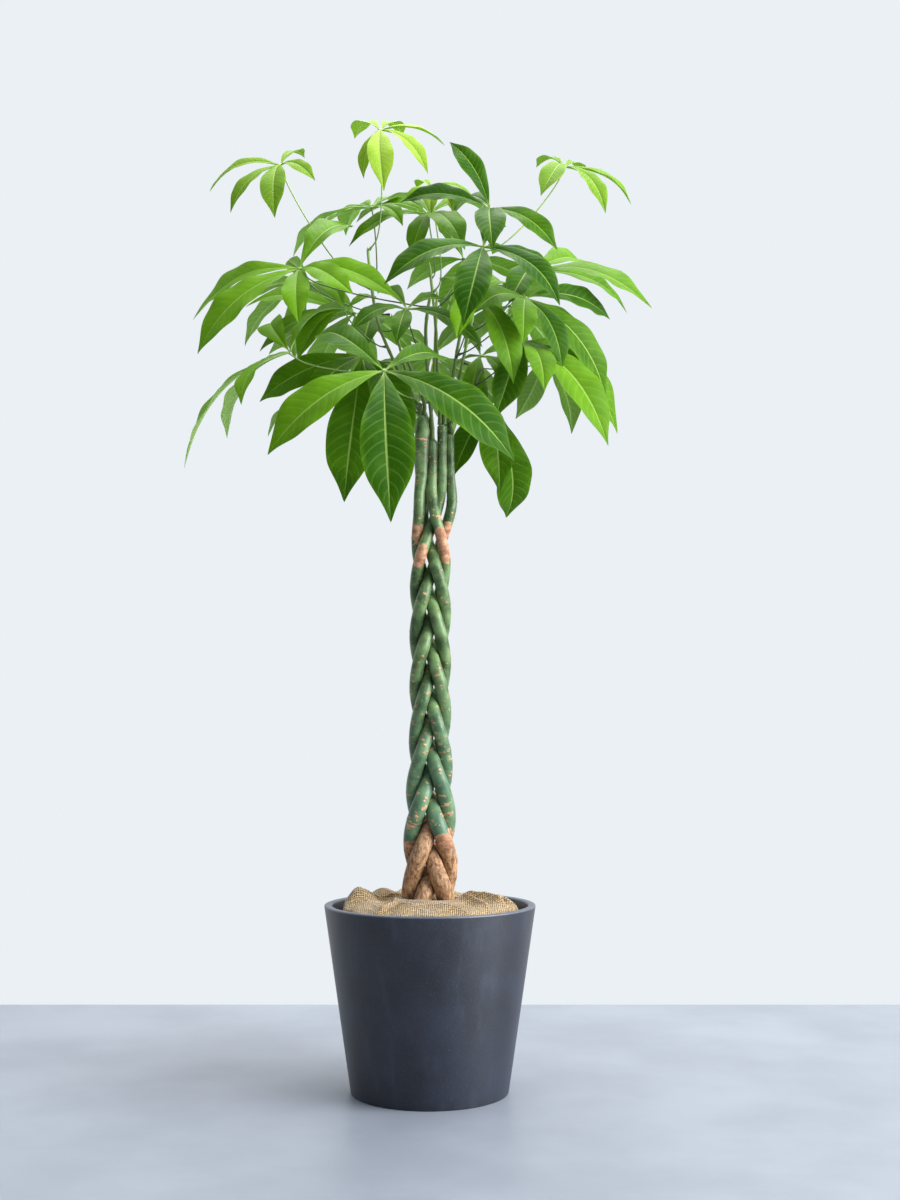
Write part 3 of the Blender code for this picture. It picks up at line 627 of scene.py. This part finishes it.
def fold_heights(x, y):
    """Broad folds: each is a bell of height times exp(-(out/along)^2 - (side/across)^2)."""
    height = np.zeros_like(x)
    for direction, distance, rise, along, across in CLOTH_FOLDS:
        turn = math.radians(direction)
        out = x * math.cos(turn) + y * math.sin(turn) - distance * MM
        side = y * math.cos(turn) - x * math.sin(turn)
        height += rise * MM * np.exp(-((out / (along * MM)) ** 2) - (side / (across * MM)) ** 2)
    return height


def crease_heights(x, y):
    """Creases: each is a ridge along a bent line, more steep on one side than on the other.

    It falls off as exp(0.2 - sqrt((distance/width)^2 + 0.04)), so its crest is narrow but not sharp.
    """
    height = np.zeros_like(x)
    for start, near, end, far, rise in CLOTH_CREASES:
        a = np.array([math.cos(math.radians(start)), math.sin(math.radians(start))]) * near * MM
        b = np.array([math.cos(math.radians(end)), math.sin(math.radians(end))]) * far * MM
        length = np.linalg.norm(b - a)
        way = (b - a) / length
        along = ((x - a[0]) * way[0] + (y - a[1]) * way[1]) / length
        side = (y - a[1]) * way[0] - (x - a[0]) * way[1] - 6 * MM * np.sin(along * math.pi)
        width = np.where(side > 0, 3.5 * MM, 8 * MM)
        fade = ease(along, -0.15, 0.2) * ease(along, 1.15, 0.7)
        height += rise * MM * fade * np.exp(0.2 - np.sqrt((side / width) ** 2 + 0.04))
    return height


CLOTH_HOLE = (46 * MM, 40 * MM)
CLOTH_MOUND = 19 * MM
CLOTH_EDGE_TOP = 301 * MM
CLOTH_THICKNESS = 1.4 * MM


def make_burlap(material):
    """One draped sheet: a mound round the trunk that falls to the rim, with folds and creases on it.

    A point is at its angle and its part of the way from the hole to the hem. Its spread is how far it
    lies from the hole towards the edge. Its height is the edge's top plus the mound times
    (1 - spread^2.2), less a hollow round the trunk, plus the folds, creases and small rumples. Over
    the last tenth the cloth rolls down to its hem.
    """
    low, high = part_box("burlap_cover")
    edge, hem_low = high[0], low[2]
    around, across = 420, 78
    turns = np.arange(around)[None] * TURN / around
    part = np.linspace(0, 1, across)[:, None]
    hole_edge = 1 / np.hypot(np.cos(turns) / CLOTH_HOLE[0], np.sin(turns) / CLOTH_HOLE[1])
    ragged = 1 + 0.012 * np.sin(turns * 5 + 0.6) + 0.008 * np.sin(turns * 11 + 2)
    hem = (edge - 3.5 * MM) * (ragged - 0.012 * 1.6)
    radius = hole_edge + (hem - hole_edge) * np.minimum(part / 0.94, 1) + 1.5 * MM * ease(part, 0.94, 1.0)
    x, y = radius * np.cos(turns), radius * np.sin(turns)
    spread = (radius - hole_edge) / (edge - hole_edge)
    height = CLOTH_EDGE_TOP + CLOTH_MOUND * (1 - np.clip(spread, 0, 1) ** 2.2)
    hollow = 7 * MM * np.exp(-(((np.hypot(x, y) - 82 * MM) / (17 * MM)) ** 2))
    height = height - hollow * (0.6 + 0.4 * np.sin(2 * turns + 0.8))
    rumple = (2.0 * MM * np.sin(x / 0.021 + 2 * np.sin(y / 0.03)) * np.sin(y / 0.024 + 1.3)
              + 1.2 * MM * np.sin(x / 0.009 + 1.7 * np.sin(y / 0.013)))
    height = height + fold_heights(x, y) + crease_heights(x, y) + rumple * ease(spread, 0.02, 0.25)
    tucked = hem_low + 3 * MM
    height = height + (tucked - height) * ease(part, 0.90, 1.0)
    top = np.stack([x, y, height], -1)
    outwards = np.gradient(top, axis=0)
    wrapped = np.concatenate([top[:, -1:], top, top[:, :1]], 1)
    normal = unit(np.cross(outwards, np.gradient(wrapped, axis=1)[:, 1:-1]))
    under = top - normal * CLOTH_THICKNESS
    sheet = np.concatenate([top, under[::-1]], 0)
    flat = np.concatenate([sheet[..., :2], sheet[:, :1, :2]], 1)
    make_ring_sheet("burlap_sheet", sheet, flat, material)


def make_ring_sheet(name, grid, uv, material):
    """A sheet whose rows close into a ring both ways round: over the top, under the hem and back."""
    rows, columns = grid.shape[:2]
    row, column = np.mgrid[0:rows, 0:columns]
    below, after = (row + 1) % rows, (column + 1) % columns
    faces = np.stack([row * columns + column, below * columns + column,
                      below * columns + after, row * columns + after], -1).reshape(-1, 4)
    corners = np.stack([uv[row, column], uv[below, column],
                        uv[below, column + 1], uv[row, column + 1]], -2)
    mesh = bpy.data.meshes.new(name)
    mesh.from_pydata(grid.reshape(-1, 3).tolist(), [], faces.tolist())
    mesh.uv_layers.new(name="UVMap").data.foreach_set("uv", corners.reshape(-1).astype(np.float32))
    mesh.materials.append(material)
    mesh.shade_smooth()
    piece = bpy.data.objects.new(name, mesh)
    bpy.context.collection.objects.link(piece)
    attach(piece, "root")
    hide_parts("burlap_cover")


# ---------------------------------------------------------------- stems

# Corky patches on the stems: stem number, height, which way they look in degrees, height and width, mm
STEM_PATCHES = (
    (3, 950, 270, 14, 90),
    (1, 955, 270, 16, 90),
    (5, 925, 270, 30, 90),
    (2, 905, 270, 18, 60),
)
# How high the brown corky foot of each stem reaches, mm
BROWN_TOPS = (432, 408, 446, 420, 398)


def scar_ridges(along, seed):
    """Ring scars, where leaf stalks once sat: a low ridge every 45 to 80 mm along the stem.

    Each is a bell of its own height, from 0.4 to 1, times exp(-(distance / 2 mm)^2).
    """
    rng = np.random.default_rng(seed)
    ridge = np.zeros_like(along)
    place = rng.uniform(0.01, 0.05)
    while place < along[-1]:
        ridge += rng.uniform(0.4, 1.0) * np.exp(-((along - place) / (2.0 * MM)) ** 2)
        place += rng.uniform(0.045, 0.08)
    return ridge


def make_stems(material, cut):
    """Each stem is its CAD centre line made smooth, with ridges, slow swellings and a cut top.

    Its radius is the CAD radius times (pressed + swell + flutes), plus 0.6 mm on each scar. Its tone
    rises where the bark is corky, and most of all at its brown foot. A second mark paints shade into the
    creases, where another stem's centre line comes within 1.32 radii of the bark.
    """
    columns, rows = 30, 260
    chains = [chain_of(f"stem_{number_of}", 8) for number_of in range(1, 6)]
    paths = [through(centres, rows) for centres, _ in chains]
    for number_of, (path, (_, radii)) in enumerate(zip(paths, chains), 1):
        radius = np.interp(np.linspace(0, 1, rows), np.linspace(0, 1, len(radii)), radii)
        along = length_along(path)
        rng = np.random.default_rng(40 + number_of)
        turns = np.arange(columns) * TURN / columns
        phases = rng.uniform(0, TURN, 4)
        swell = (0.018 * np.sin(along / 0.031 + phases[0])[:, None]
                 + 0.016 * np.sin(2 * turns + along[:, None] / 0.06 + phases[1])
                 + 0.010 * np.sin(3 * turns - along[:, None] / 0.045 + phases[2]))
        foot = ease(path[:, 2], 0.42, 0.33)[:, None]
        flutes = 0.035 * np.sin(7 * turns + 3 * np.sin(along[:, None] / 0.03) + phases[3]) * foot
        pressed = (1.03 + 0.055 * ease(path[:, 2], 0.92, 0.84))[:, None]
        scars = scar_ridges(along, number_of)[:, None]
        skin = radius[:, None] * (pressed + swell + flutes) + 0.6 * MM * scars
        rounding = np.sqrt(np.clip(1 - ease(along, along[-1] - 3 * MM, along[-1] + 1 * MM) ** 2, 0.3, 1))
        rings = round_rings(path, skin * rounding[:, None], columns)
        outwards = unit(rings - path[:, None])
        tone = 0.16 + 0.10 * np.sin(along / 0.05 + phases[0])[:, None] + 0 * turns
        tone = tone + 0.22 * ease(path[:, 2], 0.62, 0.44)[:, None]
        tone = tone + 0.42 * scars * np.clip(0.4 + np.sin(turns + 9 * along[:, None]), 0, 1)
        brown_top = BROWN_TOPS[number_of - 1] * MM
        tone = tone + 1.7 * ease(path[:, 2], brown_top + 22 * MM, brown_top - 22 * MM)[:, None]
        for stem, height, facing, tall, wide in STEM_PATCHES:
            if stem != number_of:
                continue
            look = np.array([math.cos(math.radians(facing)), math.sin(math.radians(facing)), 0])
            turned_away = np.arccos(np.clip(outwards @ look, -1, 1)) / math.radians(wide)
            off = (path[:, 2] - height * MM)[:, None] / (tall * MM)
            tone = tone + 0.75 * ease(np.hypot(off, turned_away * 0.7), 1.15, 0.8)
        others = np.concatenate([other[::2] for other in paths if other is not path])
        # painted shade: the nearer another stem lies, the darker the bark in the crease between them
        near = np.array([np.linalg.norm(ring[:, None] - others, axis=2).min(1) for ring in rings])
        crease_shade = ease(near / radius[:, None], 1.32, 1.0)
        shell = Shell()
        shell.tube(rings, round_uv(path, radius.mean(), columns), 0, tone, crease_shade=crease_shade)
        # the cap on the upper end shows the cut wood
        shell.finishes[-1] = np.ones(columns, int)
        shell.made(f"trunk_{number_of}", [material, cut], f"stem_{number_of}", "bark", 50)


def cut_wood():
    """Healed cut on top of a stem: dry grey-brown end grain, mottled every 3 mm where it has healed."""
    material, tree, shader = started("healed_end_grain", 0.85, Specular_IOR_Level=0.2)
    grain = mottled(tree, 3 * MM, 4.0)
    wood = tinted(tree, colour("#4a3a28"), colour("#8d7a5c"), grain, span=(0.3, 0.7))
    dressed(tree, shader, wood, grain, 0.8 * MM)
    return material


# ---------------------------------------------------------------- shoots


def make_shoots(material):
    """Each shoot is its CAD centre line made smooth, with a swollen joint where each leaf leaves it
    and a pointed bud at its end."""
    columns, rows = 16, 90
    for node in sorted(name for name in frame["nodes"] if name.startswith("shoot_")):
        centres, radii = chain_of(node, 6)
        path = through(centres, rows)
        radius = np.interp(np.linspace(0, 1, rows), np.linspace(0, 1, len(radii)), radii)
        along = length_along(path)
        joints = np.zeros(rows)
        for place in np.arange(0.02, along[-1], 0.038):
            joints += 0.5 * MM * np.exp(-((along - place) / (3 * MM)) ** 2)
        base = 0.9 * MM * np.exp(-along / (8 * MM))
        bud = 1 - 0.85 * ease(along, along[-1] - 9 * MM, along[-1])
        skin = (radius * 0.97 + joints + base) * bud
        shell = Shell()
        shell.tube(round_rings(path, skin, columns), round_uv(path, radius.mean(), columns), 0,
                   ease(path[:, 2], 1.15, 1.45)[:, None])
        shell.made(node.replace("shoot", "green_twig"), [material], node, "green_shoot", 60)


# ---------------------------------------------------------------- leaves

# How light the green of the leaves in front is, partly their own tone and partly painted light and
# shade: lighter where a leaf shows a sheen or is lit from behind, darker where it lies in shadow.
# 0 is the darkest
LEAF_TONES_LIGHT_AND_SHADE = {
    "leaf_04": 0.25, "leaf_06": 0.6, "leaf_07": 0.12, "leaf_08": 0.55, "leaf_09": 0.4, "leaf_10": 0.8,
    "leaf_11": 0.7, "leaf_12": 0.9, "leaf_13": 0.3, "leaf_14": 0.45, "leaf_15": 0.4, "leaf_16": 0.6,
    "leaf_17": 0.6, "leaf_18": 0.7, "leaf_19": 0.3, "leaf_20": 0.7, "leaf_21": 0.6,
}
BLADE_ROWS = 60
TIP_ROWS = 10
# Where the lines of the upper side run, from one edge at -1 to the other at 1
UPPER = np.array([-1, -0.96, -0.86, -0.7, -0.52, -0.34, -0.18, -0.07, 0,
                  0.07, 0.18, 0.34, 0.52, 0.7, 0.86, 0.96, 1])
BLADE_THICKNESS = 0.7 * MM


def blade_breadth(along):
    """Outline of a leaflet from 0 to 1: sin(pi times along^1.27)^0.85, drawn in to a drip tip."""
    body = np.sin(math.pi * np.clip(along, 0, 1) ** 1.27).clip(0) ** 0.85
    return body * (1 - 0.45 * ease(along, 0.74, 1.0))


def blade_grid(root, tip, middle, breadth, axis, rng, young):
    """Rings round a leaflet: over its upper side from edge to edge, and back under its lower side.

    The midrib is a Bezier curve from root to tip whose handle makes it pass the CAD section at 0.52.
    Across it, the upper side rises by 0.30 times the edge part, less 0.16 times its square, and the
    margin waves up and down. Between the side veins the blade is quilted by 0.0009 of its length.
    """
    t = 0.52
    handle = (middle - root * (1 - t) ** 2 - tip * t ** 2) / (2 * t * (1 - t))
    near_tip = 1 - 0.1 * np.linspace(0.88, 0.02, TIP_ROWS) ** 1.3
    u = np.concatenate([np.linspace(0.004, 0.9, BLADE_ROWS - TIP_ROWS), near_tip])
    line = (root * ((1 - u) ** 2)[:, None] + handle * (2 * u * (1 - u))[:, None]
            + tip * (u ** 2)[:, None])
    length = np.linalg.norm(tip - root)
    chord = (tip - root) / length
    bow = unit(beyond(axis, chord))
    sway = np.cross(chord, bow)
    bend = rng.normal(0, 0.016)
    line = line + sway * (length * bend * np.sin(math.pi * u))[:, None]
    line = line + bow * (length * rng.normal(0, 0.008) * np.sin(TURN * u))[:, None]
    way = unit(np.gradient(line, axis=0))
    side = unit(np.cross(way, bow))
    top = np.cross(side, way)
    twist = (math.radians(rng.normal(0, 7)) * u ** 1.5)[:, None]
    side, top = (side * np.cos(twist) + top * np.sin(twist),
                 top * np.cos(twist) - side * np.sin(twist))
    half = np.maximum(breadth / 2 * blade_breadth(u), 1.0 * MM * (1 - ease(u, 0.9, 1.0)) + 0.15 * MM)
    skew = 1 + 0.05 * rng.normal() * np.sign(UPPER)
    fold = rng.uniform(0.8, 1.5)
    edge = np.abs(UPPER)
    rise = half[:, None] * fold * (0.30 * edge - 0.16 * edge ** 2)
    waves = rng.uniform(2.6, 4.2, 2)
    phases = rng.uniform(0, TURN, 2)
    swing = np.where(UPPER[None] < 0, np.sin(TURN * waves[0] * u + phases[0])[:, None],
                     np.sin(TURN * waves[1] * u + phases[1])[:, None])
    size = (0.045 if young else 0.06) * half[:, None]
    rise = rise + size * swing * edge ** 2.2
    veins = (VEIN_PAIRS * (u[:, None] - VEIN_SLANT * edge - VEIN_CURVE * edge ** 2)
             + VEIN_STAGGER * (UPPER[None] > 0))
    quilt = 0.0009 * length * np.cos(TURN * veins) * np.sin(math.pi * np.clip(edge, 0, 1))
    rise = rise - quilt * ease(u, 0.05, 0.2)[:, None] * ease(u, 0.97, 0.85)[:, None]
    groove = 0.5 * MM * np.exp(-(UPPER[None] * half[:, None] / (1.2 * MM)) ** 2)
    upper = (line[:, None] + side[:, None] * (UPPER * skew * half[:, None])[..., None]
             + top[:, None] * (rise - groove)[..., None])
    inner = UPPER[1:-1]
    rib = (1.5 * (1 - u) + 0.35)[:, None] * MM * np.exp(-(inner[None] * half[:, None] / (1.3 * MM)) ** 2)
    thinner_edges = np.minimum(1, 0.35 + (1 - np.abs(inner)) * 4)[None]
    thick = BLADE_THICKNESS * thinner_edges * (0.25 + 0.75 * ease(u, 1.0, 0.92))[:, None]
    lower = upper[:, 1:-1] - top[:, None] * (thick + rib * ease(u, 1.0, 0.9)[:, None])[..., None]
    rings = np.concatenate([upper, lower[:, ::-1]], 1)
    across = np.concatenate([UPPER, inner[::-1], UPPER[:1]]) * 0.5 + 0.5
    uv = np.stack(np.broadcast_arrays(u[:, None], across[None]), -1)
    return rings, uv


def make_leaf(node, finishes, young, seed):
    """Petiole with a swollen foot and neck, a small hub, and a fan of leaflets, as one piece."""
    stalk, hub, axis, leaflets = leaf_plan(node)
    rng = np.random.default_rng(seed)
    shell = Shell()
    path = through(np.vstack([stalk, hub - axis * 0.5 * MM]), 46)
    along = length_along(path)
    swollen = (1.5 * MM * np.exp(-(along / (7 * MM)) ** 2)
               + 0.8 * MM * np.exp(-((along - along[-1]) / (7 * MM)) ** 2))
    columns = 10
    rings = round_rings(path, 1.25 * MM + swollen, columns)
    shell.tube(rings, round_uv(path, 1.3 * MM, columns), 2, ease(along / along[-1], 0, 1)[:, None])
    dome = path[-1] + axis * np.linspace(-2.4, 1.5, 7)[:, None] * MM
    bulge = 4.6 * MM * np.sqrt(np.clip(1 - np.linspace(-0.92, 0.9, 7) ** 2, 0.02, 1))
    shell.tube(round_rings(dome, bulge, 14), round_uv(dome, 4 * MM, 14), 2, 0.9)
    # listed leaves take their lightness from the table, partly painted light and shade; the others a
    # random tone
    base_tone = LEAF_TONES_LIGHT_AND_SHADE.get(node, rng.uniform(0.1, 0.8))
    for root, tip, middle, breadth in leaflets:
        root = hub + (root - hub) * 0.45
        rings, uv = blade_grid(root, tip, middle, breadth, axis, rng, young)
        finish = np.where(np.arange(rings.shape[1]) < len(UPPER) - 1, 0, 1)
        shell.tube(rings, uv, finish, float(np.clip(base_tone + rng.normal(0, 0.13), 0, 1)),
                   ends=(root, tip))
    name = node.replace("leaf", "leaf_fan")
    shell.made(name, finishes, node, "young_leaf" if young else "leaf", 70)


def make_leaves():
    """Every leaf of the frame, the young ones in a softer, yellower green."""
    stalk = stalk_skin("petiole_skin", "#2c3a1c", "#6f8f3c")
    fresh_stalk = stalk_skin("young_petiole_skin", "#5e7a34", "#9cb85a")
    mature = [leaf_upper("waxy_mature_leaf", "#1d4a02", "#6f9f16", "#acc666", 0.5, "#a4d008", 0.14),
              leaf_under("matt_leaf_underside", "#729a44", "#a9c67a", "#c0d498", "#b2d436"), stalk]
    young = [leaf_upper("tender_young_leaf", "#6c9420", "#9ebe3a", "#c3d586", 0.55, "#b0d02c", 0.12),
             leaf_under("tender_leaf_underside", "#86a648", "#a5c060", "#c4d596", "#b6d84c"), fresh_stalk]
    young_slot = {part["node"] for part in frame["record"]["subparts"]
                  if part["material_slot"] == "young_leaf"}
    for seed, node in enumerate(sorted(name for name in frame["nodes"] if name.startswith("leaf_"))):
        is_young = node in young_slot
        make_leaf(node, young if is_young else mature, is_young, 700 + seed)


# ---------------------------------------------------------------- stage, light and camera


FLOOR_REACH = 4
FLOOR_BACK = 0.76


def make_stage():
    """A plain pale floor, worn smooth, that ends where a wall would stand behind the pot."""
    material, tree, shader = started("pale_studio_floor", 0.4, Specular_IOR_Level=0.3)
    cloud = mottled(tree, 300 * MM, 5.0)
    floor = tinted(tree, colour("#7f848e"), colour("#8a8f99"), cloud, span=(0.3, 0.7))
    tree.links.new(floor, shader.inputs["Base Color"])
    mesh = bpy.data.meshes.new("floor")
    corners = [(-FLOOR_REACH, -FLOOR_REACH, 0), (FLOOR_REACH, -FLOOR_REACH, 0),
               (FLOOR_REACH, FLOOR_BACK, 0), (-FLOOR_REACH, FLOOR_BACK, 0)]
    mesh.from_pydata(corners, [], [(0, 1, 2, 3)])
    mesh.materials.append(material)
    plate = bpy.data.objects.new("floor", mesh)
    bpy.context.collection.objects.link(plate)


def area_light(name, place, target, size, power, tint):
    """A square lamp that faces its target: size in metres, power in watts."""
    light = bpy.data.lights.new(name, "AREA")
    light.shape = "SQUARE"
    light.size = size
    light.energy = power
    light.color = colour(tint)[:3]
    lamp = bpy.data.objects.new(name, light)
    lamp.location = place
    way = np.array(target) - np.array(place)
    flat = math.hypot(way[0], way[1])
    lamp.rotation_euler = (math.atan2(flat, -way[2]), 0, math.atan2(way[1], way[0]) - math.pi / 2)
    bpy.context.collection.objects.link(lamp)


# The far window: which way it lies, and how much brighter it is than the pale room
WINDOW_WAY = (0.86, -0.41, 0.30)
WINDOW_STRENGTH = 12.0


def make_light():
    """Soft daylight from the right and above, with pale surroundings that fill the shadows."""
    world = bpy.data.worlds.new("pale_room")
    world.use_nodes = True
    room = world.node_tree
    sky = room.nodes["Background"]
    way = add(room, "TexCoord", out="Generated")
    behind = add(room, "SeparateXYZ", {0: way}, out=1)
    towards = add(room, "VectorMath", {0: way, 1: WINDOW_WAY}, out="Value", operation="DOT_PRODUCT")
    window = add(room, "MapRange", {"Value": towards, "From Min": 0.80, "From Max": 0.95},
                 interpolation_type="SMOOTHSTEP")
    room.links.new(summed(room, [(window, WINDOW_STRENGTH)], 1.0), sky.inputs["Strength"])
    room.links.new(tinted(room, colour("#b4bcc7"), colour("#ebf0f5"), behind, span=(-0.3, 0.25)),
                   sky.inputs["Color"])
    bpy.context.scene.world = world
    bpy.context.scene.view_settings.view_transform = "Standard"
    area_light("window_light", (2.6, -1.05, 1.9), (0, 0, 0.8), 2.0, 95, "#fffbf3")
    area_light("roof_light", (0.2, 0.5, 3.6), (0, 0, 1.2), 2.2, 150, "#fffdf6")


def make_camera():
    """The camera of the front view, 2.4 m away and tilted a little upwards."""
    camera = bpy.data.cameras.new("camera")
    camera.lens = 42.15
    camera.sensor_width = 36
    stand = bpy.data.objects.new("camera", camera)
    stand.location = (0.034, -2.435, 0.596)
    stand.rotation_euler = (math.radians(95.5), 0, 0)
    bpy.context.collection.objects.link(stand)
    bpy.context.scene.camera = stand


def main():
    make_camera()
    make_planter(cast_resin())
    make_nursery_pot(moulded_plastic())
    soil = frame["nodes"]["soil"]
    soil.data.materials.clear()
    soil.data.materials.append(potting_mix())
    make_burlap(jute_weave())
    make_stems(tree_bark(), cut_wood())
    make_shoots(stalk_skin("shoot_skin", "#4a5c2a", "#7d9a45"))
    make_leaves()
    make_stage()
    make_light()


main()
